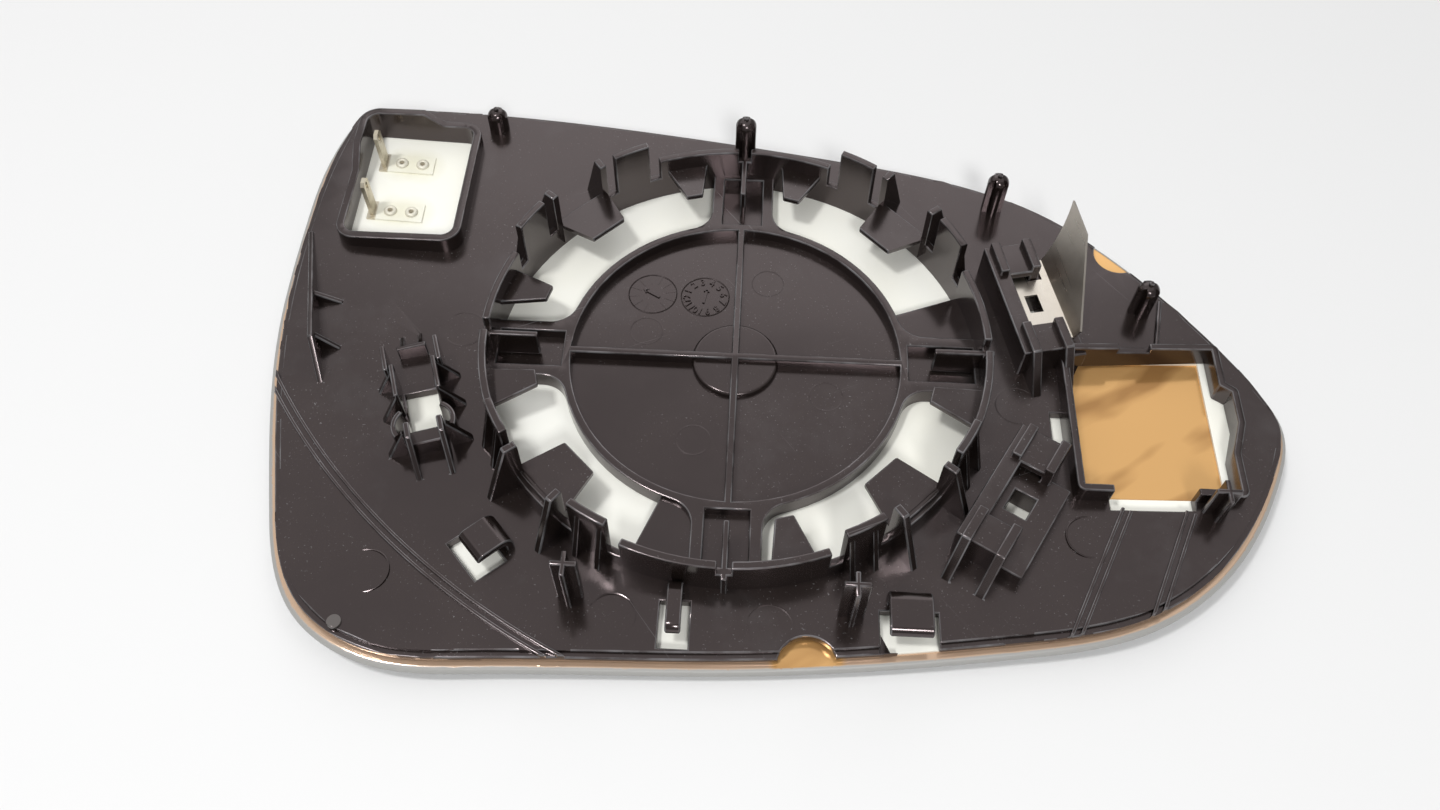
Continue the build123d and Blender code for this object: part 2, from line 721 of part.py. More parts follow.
def seat_window() -> Sketch:
    """Window through a clip seat and the plate, in the seat's own frame."""
    with BuildSketch() as shape:
        with Locations(SEAT_WINDOW_CENTRE):
            Rectangle(*SEAT_WINDOW_SIZE)
    return shape.sketch


def left_seat() -> list[Part]:
    """Left seat in its own frame: two rows of thin walls with gussets, bars and legs."""
    base = height(PLATE_LEVEL, LEFT_SEAT)
    top = base + LEFT_WALL_RISE
    low = base + LEFT_LOW_BAR_RISE
    bar = base + LEFT_BAR_RISE
    pieces = [block((-LEFT_BAR[0], -LEFT_BAR[1] / 2), (0, LEFT_BAR[1] / 2), bar)]
    pieces.append(block((LEFT_LOW_BAR[0], -LEFT_LEG_OFFSET), (LEFT_LOW_BAR[1], LEFT_LEG_OFFSET), low))
    for side in (-1, 1):
        behind = [(LEFT_BAR_RIB_START, 0), (LEFT_BAR_RIB_START, base), (0, bar), (0, 0)]
        pieces.append(rib(upright(0, (0, side * LEFT_BAR_RIB_OFFSET)), behind, LEFT_WALL))
        for span, offset_across in (LEFT_OUTER_WALL, LEFT_OUTER_OFFSET), (LEFT_INNER_WALL, LEFT_INNER_OFFSET):
            ends = [(along, side * offset_across) for along in span]
            pieces.append(wall(*ends, LEFT_WALL, top))
        for row in LEFT_GUSSET_ROWS:
            slope = [(0, 0), (0, top), (LEFT_GUSSET_FOOT - LEFT_INNER_OFFSET, base)]
            slope.append((LEFT_GUSSET_FOOT - LEFT_INNER_OFFSET, 0))
            plane = upright(side * QUARTER_TURN, (row, side * LEFT_INNER_OFFSET))
            pieces.append(rib(plane, slope, LEFT_GUSSET_WIDTH))
        leg = [(LEFT_LOW_BAR[0], 0), (LEFT_LOW_BAR[0], top), (LEFT_LEG_TOP, top)]
        leg += [(LEFT_LEG_FOOT, base), (LEFT_LEG_FOOT, 0)]
        pieces.append(rib(upright(0, (0, side * LEFT_LEG_OFFSET)), leg, LEFT_LEG_WIDTH))
        pieces.append(curved_wall(side, base + LEFT_CURVE_RISE))
    return pieces


def curved_wall(side: int, top: float) -> Part:
    """Bowed wall of the left seat, in the seat's own frame."""
    places = [(x, side * y) for x, y in (LEFT_CURVE_START, LEFT_CURVE_MIDDLE, LEFT_CURVE_END)]
    with BuildPart() as piece:
        with BuildSketch():
            with BuildLine():
                ThreePointArc(*places)
            trace(line_width=LEFT_WALL)
        extrude(amount=top)
    return piece.part


def left_seat_window() -> Sketch:
    """Window in the plate inside the left seat, in the seat's own frame."""
    with BuildSketch() as shape:
        with Locations((sum(LEFT_WINDOW) / 2, 0)):
            Rectangle(LEFT_WINDOW[1] - LEFT_WINDOW[0], LEFT_WINDOW_WIDTH)
    return shape.sketch


def frame_inside() -> Sketch:
    """Inside of the blind-spot frame, with the jog in its right-hand wall."""
    jog = FRAME_RIGHT + FRAME_JOG
    ramp = [FRAME_RIGHT, jog, jog, FRAME_RIGHT]
    with BuildSketch() as shape:
        with BuildLine():
            Polyline(
                (FRAME_LEFT, FRAME_BACK_LEFT),
                (FRAME_LEFT, FRAME_FRONT),
                (FRAME_RIGHT, FRAME_FRONT),
                *zip(ramp, FRAME_JOG_ROWS),
                (FRAME_RIGHT, FRAME_BACK_RIGHT),
                close=True,
            )
        make_face()
    return shape.sketch


def frame() -> Part:
    """Frame round the blind-spot window, with a notch behind and a gap in front."""
    centre = ((FRAME_LEFT + FRAME_RIGHT) / 2, (FRAME_BACK_LEFT + FRAME_FRONT) / 2)
    top = height(PLATE_LEVEL, centre) + FRAME_RISE
    with BuildPart() as piece:
        with BuildSketch():
            add(frame_inside())
            offset(amount=FRAME_WALL)
            add(frame_inside(), mode=Mode.SUBTRACT)
        extrude(amount=top)
        with BuildSketch(Plane.XZ):
            with Locations((FRAME_NOTCH[0], top - FRAME_NOTCH_DEPTH)):
                Rectangle(FRAME_NOTCH[1] - FRAME_NOTCH[0], FRAME_NOTCH_DEPTH, align=(Align.MIN, Align.MIN))
        extrude(amount=-REACH, mode=Mode.SUBTRACT)
        with BuildSketch():
            with Locations((FRAME_GAP[0], FRAME_GAP_FRONT)):
                Rectangle(
                    FRAME_GAP[1] - FRAME_GAP[0],
                    FRAME_FRONT - FRAME_GAP_FRONT,
                    align=(Align.MIN, Align.MIN),
                )
        extrude(amount=CEILING, mode=Mode.SUBTRACT)
    return piece.part


def frame_window() -> Sketch:
    """Opening in the plate inside the frame, out to the front of its gap, and the slot beside it."""
    with BuildSketch() as shape:
        add(frame_inside())
        with Locations((FRAME_GAP[0], FRAME_GAP_FRONT)):
            Rectangle(
                FRAME_GAP[1] - FRAME_GAP[0],
                FRAME_FRONT - FRAME_GAP_FRONT,
                align=(Align.MIN, Align.MIN),
            )
        with Locations(SLOT_CENTRE):
            Rectangle(*SLOT_SIZE)
    return shape.sketch


def edge_cuts(margin: float) -> Sketch:
    """Half-round cuts in the plate edge, grown by a margin."""
    with BuildSketch() as shape:
        with Locations(CUT_LOWER):
            Circle(CUT_LOWER_RADIUS + margin)
        with Locations(CUT_UPPER):
            Circle(CUT_UPPER_RADIUS + margin)
    return shape.sketch


def edge_step() -> Part:
    """Space above the low step that runs round the plate's edge."""
    with BuildPart() as space:
        with BuildSketch():
            add(outline(PLATE_STEP))
            add(outline(-PLATE_STEP), mode=Mode.SUBTRACT)
        extrude(amount=CEILING)
        add(bowl(PLATE_LEVEL - PLATE_STEP_DEPTH), mode=Mode.INTERSECT)
    return space.part


def beads() -> Part:
    """Double beads that follow the plate's curve."""
    with BuildPart() as piece:
        with BuildSketch():
            for width, mode in (BEAD_WIDTH, Mode.ADD), (BEAD_GROOVE, Mode.SUBTRACT):
                with BuildLine():
                    ThreePointArc(*BEAD_LEFT)
                    Line(*BEAD_INNER)
                    Line(*BEAD_OUTER)
                trace(line_width=width, mode=mode)
            add(outline(0), mode=Mode.INTERSECT)
        extrude(amount=CEILING)
        add(bowl(PLATE_LEVEL + BEAD_RISE), mode=Mode.SUBTRACT)
    return piece.part


def gate_mark() -> Part:
    """Short stub where the moulding was gated."""
    with BuildPart() as piece:
        with BuildSketch():
            with Locations(GATE):
                Circle(GATE_RADIUS)
        extrude(amount=height(PLATE_LEVEL, GATE) + GATE_RISE)
    return piece.part


def posts() -> list[Part]:
    """Domed posts, cross posts and the web from the back key rib to the centre post."""
    return [
        post(POST_UPPER_LEFT, POST_UPPER_LEFT_RISE),
        post(POST_UPPER_RIGHT, POST_UPPER_RIGHT_RISE),
        post(POST_FAR_RIGHT, POST_FAR_RIGHT_RISE),
        post(POST_CENTRE, POST_CENTRE_RISE),
        wall((0, KEY_START), POST_CENTRE, KEY_WIDTH, PLATE_LEVEL + KEY_RISE),
        cross_post(CROSS_POST_LEFT, CROSS_POST_RISE),
        cross_post(CROSS_POST_MIDDLE, CROSS_POST_RISE),
        cross_post(CROSS_POST_RIGHT, CROSS_POST_RIGHT_RISE),
    ]


def hooks() -> list[Part]:
    """All the harness hooks."""
    return [hook(*place) for place in HOOKS]


def marks() -> list[Part]:
    """Gate mark and the low step beside the far right post."""
    step = wall(STEP_START, STEP_END, STEP_WIDTH, height(PLATE_LEVEL, STEP_END) + STEP_RISE)
    return [gate_mark(), step]


HOOKS = (
    (HOOK_LEFT, HOOK_LEFT_ANGLE, HOOK_LEFT_LENGTH, HOOK_LEFT_WIDTH),
    (HOOK_RIGHT, HOOK_RIGHT_ANGLE, HOOK_RIGHT_LENGTH, HOOK_RIGHT_WIDTH),
    (HOOK_SMALL, HOOK_SMALL_ANGLE, HOOK_SMALL_LENGTH, HOOK_SMALL_WIDTH),
)
SEAT_PLACES = (
    Location((*SEAT_RIGHT, 0), (0, 0, SEAT_RIGHT_ANGLE)),
    Location((*SEAT_LOWER, 0), (0, 0, SEAT_LOWER_ANGLE)),
)
LEFT_SEAT_PLACE = Location((*LEFT_SEAT, 0), (0, 0, LEFT_SEAT_ANGLE))

# Mirror glass
with BuildPart() as mirror_glass:
    with BuildSketch():
        add(outline(GLASS_MARGIN))
    extrude(amount=CEILING)
    add(bowl(0), mode=Mode.INTERSECT)
    add(bowl(MAT_LEVEL), mode=Mode.SUBTRACT)
    rims = mirror_glass.faces().sort_by(SortBy.AREA)[-2:].edges()
    fillet(rims.filter_by(lambda edge: edge.bounding_box().size.Y > GLASS_THICK), GLASS_EDGE_ROUND)
mirror_glass.part.label = "mirror_glass"
export_step(mirror_glass.part, "parts/mirror_glass.step")

# Heater mat, cut out for the blind-spot window, the edge cuts and the rivets
with BuildPart() as heater_mat:
    with BuildSketch():
        add(outline(-MAT_INSET))
        add(edge_cuts(CUT_MAT_MARGIN), mode=Mode.SUBTRACT)
        with Locations((MAT_WINDOW_LEFT, FRAME_FRONT)):
            Rectangle(
                MAT_WINDOW_RIGHT - MAT_WINDOW_LEFT,
                FRAME_BACK_RIGHT - FRAME_FRONT,
                align=(Align.MIN, Align.MIN),
                mode=Mode.SUBTRACT,
            )
        with Locations([(x, y) for x in RIVET_COLUMNS for y in TERMINAL_ROWS]):
            Circle(RIVET_SHANK + RIVET_CLEARANCE, mode=Mode.SUBTRACT)
    extrude(amount=CEILING)
    add(bowl(MAT_LEVEL), mode=Mode.INTERSECT)
    add(bowl(BASE_LEVEL), mode=Mode.SUBTRACT)
heater_mat.part.label = "heater_mat"
export_step(heater_mat.part, "parts/heater_mat.step")

# Carrier plate: the curved plate with its openings, then what stands on it
with BuildPart() as carrier_plate:
    with BuildSketch():
        add(outline(0))
        for opening in ring_windows(), box_window(), frame_window(), edge_cuts(0):
            add(opening, mode=Mode.SUBTRACT)
        for place in HOOKS:
            add(hook_window(*place), mode=Mode.SUBTRACT)
        with Locations(*SEAT_PLACES):
            add(seat_window(), mode=Mode.SUBTRACT)
        with Locations(LEFT_SEAT_PLACE):
            add(left_seat_window(), mode=Mode.SUBTRACT)
    extrude(amount=CEILING)
    add(bowl(BASE_LEVEL), mode=Mode.INTERSECT)
    add(bowl(PLATE_LEVEL, PAD_LEVEL), mode=Mode.SUBTRACT)
    add(edge_step(), mode=Mode.SUBTRACT)
    with BuildSketch(Plane.XY.offset(PLATE_LEVEL)):
        add(hub_recess())
    extrude(amount=PAD_LEVEL, mode=Mode.SUBTRACT)
    add([snap_ring(), boss()])
    for pieces in posts(), hooks(), terminal_box(), fin(), frame(), beads(), marks():
        add(rooted(pieces))
    for place in SEAT_PLACES:
        add(rooted(clip_seat(), place))
    add(rooted(left_seat(), LEFT_SEAT_PLACE))
carrier_plate.part.label = "carrier_plate"
export_step(carrier_plate.part, "parts/carrier_plate.step")

# Heater terminals: a foot that follows the mat, and an upright blade with a slot
for number, row in enumerate(TERMINAL_ROWS, start=1):
    with BuildPart() as terminal:
        with BuildSketch():
            with Locations((TERMINAL_FOOT_LEFT, row)):
                Rectangle(
                    TERMINAL_FOOT_RIGHT - TERMINAL_FOOT_LEFT,
                    TERMINAL_FOOT_WIDTH,
                    align=(Align.MIN, Align.CENTER),
                )
            with Locations([(column, row) for column in RIVET_COLUMNS]):
                Circle(RIVET_SHANK + RIVET_CLEARANCE, mode=Mode.SUBTRACT)
        extrude(amount=CEILING)
        add(bowl(BASE_LEVEL + TERMINAL_SHEET), mode=Mode.SUBTRACT)
        tip = height(BASE_LEVEL, (TERMINAL_BLADE, row)) + BLADE_RISE
        with BuildSketch(Plane.YZ.offset(TERMINAL_BLADE)) as blade:
            with Locations((row, 0)):
                Rectangle(BLADE_WIDTH, tip, align=(Align.CENTER, Align.MIN))
            chamfer(blade.vertices().group_by(Axis.Y)[-1], BLADE_TIP)
            with Locations((row, tip - BLADE_SLOT_TOP)):
                SlotOverall(BLADE_SLOT_LENGTH, BLADE_SLOT_WIDTH, rotation=QUARTER_TURN, mode=Mode.SUBTRACT)
        extrude(amount=TERMINAL_THICK / 2, both=True)
        add(bowl(BASE_LEVEL), mode=Mode.INTERSECT)
    terminal.part.label = f"heater_terminal_{number}"
    export_step(terminal.part, f"parts/heater_terminal_{number}.step")

# Rivets: hollow shanks through the terminal feet and the mat, each square to the curve
for number, place in enumerate([(x, y) for x in RIVET_COLUMNS for y in TERMINAL_ROWS], start=1):
    seat = BASE_LEVEL + TERMINAL_SHEET
    origin = (*place, height(seat, place))
    lean = Plane(origin=origin, z_dir=(-origin[0], -origin[1], GLASS_CURVE - origin[2]))
    shank = TERMINAL_SHEET + MAT_THICK - RIVET_END_GAP
    with BuildPart() as rivet:
        with BuildSketch(Plane(origin=lean.origin, x_dir=lean.x_dir, z_dir=-lean.y_dir)):
            with BuildLine():
                Polyline(
                    (RIVET_BORE, RIVET_HEAD),
                    (RIVET_BORE, -shank),
                    (RIVET_SHANK, -shank),
                    (RIVET_SHANK, 0),
                    (RIVET_FLANGE, 0),
                )
                ThreePointArc(
                    (RIVET_FLANGE, 0),
                    ((RIVET_BORE + RIVET_FLANGE) / 2 + RIVET_HEAD / 2, RIVET_HEAD),
                    (RIVET_BORE, RIVET_HEAD),
                )
            make_face()
        revolve(axis=Axis(lean.origin, lean.z_dir))
    rivet.part.label = f"heater_rivet_{number}"
    export_step(rivet.part, f"parts/heater_rivet_{number}.step")


def clip_flat() -> Part:
    """Flat of the spring clip, held under the seat's blocks, with an ear past each block."""
    floor = height(PLATE_LEVEL, SEAT_RIGHT) + SEAT_FLOOR_RISE
    with BuildPart() as piece:
        with BuildSketch(Plane.XY.offset(floor)):
            add(seat_slot(CLIP_CLEARANCE))
            with Locations((SEAT_WALL + CLIP_CLEARANCE, SEAT_GAP_START + CLIP_CLEARANCE)):
                Rectangle(
                    CLIP_EDGE - SEAT_WALL - CLIP_CLEARANCE,
                    SEAT_GAP_END - SEAT_GAP_START - 2 * CLIP_CLEARANCE,
                    align=(Align.MIN, Align.MIN),
                )
            with Locations((SEAT_BLOCK_EDGE + RAIL_WIDTH / 2, CLIP_EAR_START)):
                Rectangle(
                    CLIP_EDGE - SEAT_BLOCK_EDGE - RAIL_WIDTH / 2,
                    CLIP_EAR_END - CLIP_EAR_START,
                    align=(Align.MIN, Align.MIN),
                )
            with Locations(SEAT_WINDOW_CENTRE):
                Rectangle(*CLIP_HOLE_SIZE, mode=Mode.SUBTRACT)
        extrude(amount=CLIP_SHEET)
    return piece.part


def clip_leaf() -> Part:
    """Leaf of the spring clip, bent up along the outer edge of its flat."""
    floor = height(PLATE_LEVEL, SEAT_RIGHT) + SEAT_FLOOR_RISE
    slope = radians(CLIP_LEAF_ANGLE)
    plane = Plane(
        origin=(CLIP_EDGE, 0, floor + CLIP_SHEET / 2),
        x_dir=(0, 1, 0),
        z_dir=(sin(slope), 0, -cos(slope)),
    )
    with BuildPart() as piece:
        with BuildSketch(plane):
            with BuildLine():
                Polyline(
                    (CLIP_EAR_END, 0),
                    (CLIP_EAR_START, 0),
                    (CLIP_EAR_START, CLIP_LEAF_HEEL),
                    CLIP_LEAF_SHOULDER,
                    CLIP_LEAF_TIP,
                )
                ThreePointArc(CLIP_LEAF_TIP, CLIP_LEAF_WAIST, (CLIP_EAR_END, 0))
            make_face()
        extrude(amount=CLIP_SHEET / 2, both=True)
    return piece.part


# Spring clip
with BuildPart() as spring_clip:
    with Locations(SEAT_PLACES[0]):
        add(clip_flat())
        add(clip_leaf())
spring_clip.part.label = "spring_clip"
export_step(spring_clip.part, "parts/spring_clip.step")
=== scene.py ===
"""Dresses a car door mirror glass, seen from its back, in plastic, film, mirror coating and metal.

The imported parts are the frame. The carrier plate is shown as a copy with rounded edges, the other
parts keep their own meshes, and every finish is made of nodes.
"""

import logging
from dataclasses import dataclass, field
from enum import Enum
from math import pi, radians

import bmesh
import bpy
from mathutils import Matrix, Vector
from mathutils.bvhtree import BVHTree

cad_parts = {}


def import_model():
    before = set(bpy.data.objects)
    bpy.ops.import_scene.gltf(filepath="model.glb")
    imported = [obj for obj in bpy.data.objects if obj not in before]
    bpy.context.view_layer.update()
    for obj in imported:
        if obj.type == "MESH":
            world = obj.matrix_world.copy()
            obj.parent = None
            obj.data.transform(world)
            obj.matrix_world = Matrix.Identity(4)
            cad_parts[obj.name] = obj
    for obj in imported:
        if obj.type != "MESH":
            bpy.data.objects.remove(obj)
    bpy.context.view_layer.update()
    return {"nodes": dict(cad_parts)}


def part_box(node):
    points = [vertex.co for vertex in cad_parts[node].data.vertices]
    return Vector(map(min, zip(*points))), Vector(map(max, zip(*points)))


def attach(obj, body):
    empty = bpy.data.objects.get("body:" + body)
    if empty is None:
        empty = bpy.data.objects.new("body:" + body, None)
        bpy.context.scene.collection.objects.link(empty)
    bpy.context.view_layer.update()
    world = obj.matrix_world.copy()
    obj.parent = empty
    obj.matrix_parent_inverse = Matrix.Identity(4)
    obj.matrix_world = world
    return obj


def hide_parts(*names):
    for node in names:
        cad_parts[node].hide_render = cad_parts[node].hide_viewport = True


MM = 0.001
EDGE = "edge"
LOG = logging.getLogger("mirror_glass")

Colour = tuple[float, float, float]
Place = tuple[float, float, float]


class Part(Enum):
    """CAD parts that the scene dresses."""

    GLASS = "mirror_glass"
    MAT = "heater_mat"
    PLATE = "carrier_plate"
    CLIP = "spring_clip"
    TERMINAL = "heater_terminal_"
    RIVET = "heater_rivet_"


class Graph:
    """Small helper that adds and links the nodes of one material."""

    def __init__(self, name: str) -> None:
        """Starts a material with an empty surface.

        Args:
            name: Name of the material.
        """
        self.material = bpy.data.materials.new(name)
        self.material.use_nodes = True
        self.nodes = self.material.node_tree.nodes
        self.links = self.material.node_tree.links
        self.nodes.clear()
        self.output = self.nodes.new("ShaderNodeOutputMaterial")
        self.surface = self.nodes.new("ShaderNodeBsdfPrincipled")
        self.join(self.surface.outputs["BSDF"], self.output.inputs["Surface"])
        self.coordinates = self.nodes.new("ShaderNodeTexCoord").outputs["Object"]

    def join(self, source: bpy.types.NodeSocket, target: bpy.types.NodeSocket) -> None:
        """Links one socket to another."""
        self.links.new(source, target)

    def stretched(self, scale: Place, turn: float = 0.0) -> bpy.types.NodeSocket:
        """Object coordinates, turned about Z and then scaled along each axis.

        Args:
            scale: Scale along X, Y and Z.
            turn: Turn about Z, in degrees.

        Returns:
            The socket that carries the coordinates.
        """
        mapping = self.nodes.new("ShaderNodeMapping")
        mapping.vector_type = "TEXTURE"
        mapping.inputs["Scale"].default_value = [1.0 / value for value in scale]
        mapping.inputs["Rotation"].default_value = (0.0, 0.0, radians(turn))
        self.join(self.coordinates, mapping.inputs["Vector"])
        return mapping.outputs["Vector"]

    def noise(
        self,
        scale: float,
        detail: float = 3.0,
        roughness: float = 0.5,
        vector: bpy.types.NodeSocket | None = None,
    ) -> bpy.types.NodeSocket:
        """Noise over the part.

        Args:
            scale: Cells per metre.
            detail: Octaves of detail.
            roughness: Weight of the finer octaves.
            vector: Coordinates to use in place of the plain ones.

        Returns:
            The noise's value socket.
        """
        node = self.nodes.new("ShaderNodeTexNoise")
        node.inputs["Scale"].default_value = scale
        node.inputs["Detail"].default_value = detail
        node.inputs["Roughness"].default_value = roughness
        self.join(vector or self.coordinates, node.inputs["Vector"])
        return node.outputs["Fac"]

    def ramp(
        self, value: bpy.types.NodeSocket, low: float, high: float, start: float = 0.0, end: float = 1.0
    ) -> bpy.types.NodeSocket:
        """Maps a stretch of values to another, clamped at both ends.

        Args:
            value: Socket to read.
            low: Value that gives start.
            high: Value that gives end.
            start: Result at low.
            end: Result at high.

        Returns:
            The mapped value's socket.
        """
        node = self.nodes.new("ShaderNodeMapRange")
        node.inputs["From Min"].default_value = low
        node.inputs["From Max"].default_value = high
        node.inputs["To Min"].default_value = start
        node.inputs["To Max"].default_value = end
        self.join(value, node.inputs["Value"])
        return node.outputs["Result"]

    def combine(
        self, first: bpy.types.NodeSocket, second: bpy.types.NodeSocket, operation: str = "MULTIPLY"
    ) -> bpy.types.NodeSocket:
        """Math of two values.

        Args:
            first: First value.
            second: Second value.
            operation: Name of the operation.

        Returns:
            The result's socket.
        """
        node = self.nodes.new("ShaderNodeMath")
        node.operation = operation
        self.join(first, node.inputs[0])
        self.join(second, node.inputs[1])
        return node.outputs["Value"]

    def mix(
        self,
        factor: bpy.types.NodeSocket,
        first: Colour | bpy.types.NodeSocket,
        second: Colour | bpy.types.NodeSocket,
    ) -> bpy.types.NodeSocket:
        """Mix of two colours.

        Args:
            factor: Share of the second colour.
            first: Colour or colour socket.
            second: Colour or colour socket.

        Returns:
            The mixed colour's socket.
        """
        node = self.nodes.new("ShaderNodeMix")
        node.data_type = "RGBA"
        self.join(factor, node.inputs[0])
        for colour, socket in (first, node.inputs[6]), (second, node.inputs[7]):
            if isinstance(colour, tuple):
                socket.default_value = (*colour, 1.0)
            else:
                self.join(colour, socket)
        return node.outputs[2]

    def upward(self) -> bpy.types.NodeSocket:
        """Upward share of the normal, from minus one to one."""
        split = self.nodes.new("ShaderNodeSeparateXYZ")
        self.join(self.nodes.new("ShaderNodeNewGeometry").outputs["Normal"], split.inputs[0])
        return split.outputs["Z"]

    def facing_up(self, low: float = 0.5, high: float = 0.9) -> bpy.types.NodeSocket:
        """One on faces that look up, and nought on the sides.

        Args:
            low: Upward share of the normal that gives nought.
            high: Upward share of the normal that gives one.

        Returns:
            The mask's socket.
        """
        return self.ramp(self.upward(), low, high)

    def axis(self, name: str) -> bpy.types.NodeSocket:
        """One of the object coordinates, by its letter."""
        split = self.nodes.new("ShaderNodeSeparateXYZ")
        self.join(self.coordinates, split.inputs[0])
        return split.outputs[name]

    def near(self, centre: Place, inner: float, outer: float) -> bpy.types.NodeSocket:
        """One within a distance of a point, fading out to nought.

        Args:
            centre: Point, in metres.
            inner: Distance at which the fade starts.
            outer: Distance at which it ends.

        Returns:
            The mask's socket.
        """
        node = self.nodes.new("ShaderNodeVectorMath")
        node.operation = "DISTANCE"
        self.join(self.coordinates, node.inputs[0])
        node.inputs[1].default_value = centre
        return self.ramp(node.outputs["Value"], inner, outer, 1.0, 0.0)

    def attribute(self, name: str) -> bpy.types.NodeSocket:
        """Value that the mesh carries under a name, nought where it has none."""
        node = self.nodes.new("ShaderNodeAttribute")
        node.attribute_name = name
        return node.outputs["Fac"]

    def bump(self, height: bpy.types.NodeSocket, strength: float, distance: float) -> None:
        """Bump on the surface.

        Args:
            height: Height socket.
            strength: Strength from nought to one.
            distance: Height that one stands for, in metres.
        """
        node = self.nodes.new("ShaderNodeBump")
        node.inputs["Strength"].default_value = strength
        node.inputs["Distance"].default_value = distance
        self.join(height, node.inputs["Height"])
        self.join(node.outputs["Normal"], self.surface.inputs["Normal"])


@dataclass(frozen=True)
class PlatePlastic:
    """Black moulded plastic with a brown cast, dust on its flats, fine scratches, lighter rounded edges that
    are partly rubbed wear and partly painted highlight, and a warm painted reflection tint.
    """

    dark: Colour = (0.0095, 0.0068, 0.0060)
    worn: Colour = (0.0145, 0.0105, 0.0090)
    dust: Colour = (0.300, 0.305, 0.310)
    # lighter grey on the rounded edges: partly rubbed wear, partly a painted highlight standing in for the
    # glints along them
    rubbed_and_glint: Colour = (0.120, 0.120, 0.124)
    # warm tint on the reflections: a painted reflection of warm surroundings
    warm_reflection_tint: Colour = (1.0, 0.84, 0.85)
    shine: float = 0.85
    gloss: float = 0.12
    dull: float = 0.26
    dust_share: float = 0.5
    scratch_turns: tuple[float, float] = (24.0, -52.0)
    scratch_share: float = 0.16
    wave_height: float = 0.12 * MM
    gate: Place = (-63.0 * MM, -56.6 * MM, 7.1 * MM)
    gate_radius: float = 1.25 * MM
    gate_colour: Colour = (0.090, 0.085, 0.080)

    def material(self) -> bpy.types.Material:
        """Builds the plastic."""
        graph = Graph("plate_plastic")
        mottle = graph.ramp(graph.noise(55.0, 5.0, 0.6), 0.35, 0.7)
        colour = graph.mix(mottle, self.dark, self.worn)
        specks = graph.ramp(graph.noise(2200.0, 2.0, 0.6), 0.66, 0.75)
        patches = graph.ramp(graph.noise(55.0, 4.0, 0.6), 0.40, 0.66)
        haze = graph.ramp(graph.noise(34.0, 6.0, 0.7), 0.56, 0.80, 0.0, 0.16)
        settled = graph.combine(graph.combine(specks, patches), haze, "MAXIMUM")
        settled = graph.combine(settled, graph.facing_up())
        colour = graph.mix(graph.ramp(settled, 0.0, 1.0, 0.0, self.dust_share), colour, self.dust)
        first, second = (self.scratch(graph, turn) for turn in self.scratch_turns)
        scratches = graph.combine(first, second, "MAXIMUM")
        colour = graph.mix(graph.ramp(scratches, 0.0, 1.0, 0.0, self.scratch_share), colour, self.dust)
        # rounded edges take the lighter grey, broken up by noise: partly rubbed wear, partly painted highlight
        rub_and_glint_mask = graph.ramp(graph.noise(210.0, 3.0), 0.38, 0.66, 0.15, 1.0)
        colour = graph.mix(graph.combine(graph.attribute(EDGE), rub_and_glint_mask), colour, self.rubbed_and_glint)
        cut = graph.near(self.gate, 0.95 * self.gate_radius, self.gate_radius)
        graph.join(graph.mix(cut, colour, self.gate_colour), graph.surface.inputs["Base Color"])
        smudge = graph.ramp(graph.noise(28.0, 4.0, 0.55), 0.3, 0.72, self.gloss, self.dull)
        graph.join(smudge, graph.surface.inputs["Roughness"])
        graph.surface.inputs["Specular IOR Level"].default_value = self.shine
        # the warm reflection tint is painted: it stands in for warm surroundings being reflected
        graph.surface.inputs["Specular Tint"].default_value = (*self.warm_reflection_tint, 1.0)
        grain = graph.ramp(graph.noise(1500.0), 0.0, 1.0, 0.0, 0.04)
        graph.bump(graph.combine(graph.noise(60.0, 2.0), grain, "ADD"), 0.2, self.wave_height)
        return graph.material

    def scratch(self, graph: Graph, turn: float) -> bpy.types.NodeSocket:
        """Thin straight scratches in one direction.

        Args:
            graph: Material to add them to.
            turn: Direction about Z, in degrees.

        Returns:
            The scratches' mask.
        """
        lines = graph.noise(1.0, 2.0, 0.5, graph.stretched((22.0, 1500.0, 22.0), turn))
        return graph.ramp(lines, 0.73, 0.79)


@dataclass(frozen=True)
class MatFilm:
    """Cream heater film, a little mottled, with beige rings round the rivets."""

    cream: Colour = (0.960, 0.958, 0.895)
    warm: Colour = (0.945, 0.935, 0.840)
    ring: Colour = (0.720, 0.690, 0.500)
    ring_radius: float = 2.2 * MM
    ring_fade: float = 5.2 * MM
    ring_share: float = 0.4

    def material(self, rivets: list[Place]) -> bpy.types.Material:
        """Builds the film.

        Args:
            rivets: Middles of the rivets.

        Returns:
            The film's material.
        """
        graph = Graph("mat_film")
        graph.join(self.colour(graph, rivets), graph.surface.inputs["Base Color"])
        rough = graph.ramp(graph.noise(90.0, 3.0), 0.3, 0.7, 0.42, 0.6)
        graph.join(rough, graph.surface.inputs["Roughness"])
        graph.bump(graph.noise(420.0, 3.0), 0.1, 0.05 * MM)
        return graph.material

    def colour(self, graph: Graph, rivets: list[Place]) -> bpy.types.NodeSocket:
        """Colour of the film, also where it covers another part.

        Args:
            graph: Material to add it to.
            rivets: Middles of the rivets.

        Returns:
            The colour's socket.
        """
        colour = graph.mix(graph.ramp(graph.noise(38.0, 4.0, 0.55), 0.35, 0.75), self.cream, self.warm)
        for place in rivets:
            ring = graph.near(place, self.ring_radius, self.ring_fade)
            colour = graph.mix(graph.ramp(ring, 0.0, 1.0, 0.0, self.ring_share), colour, self.ring)
        return colour


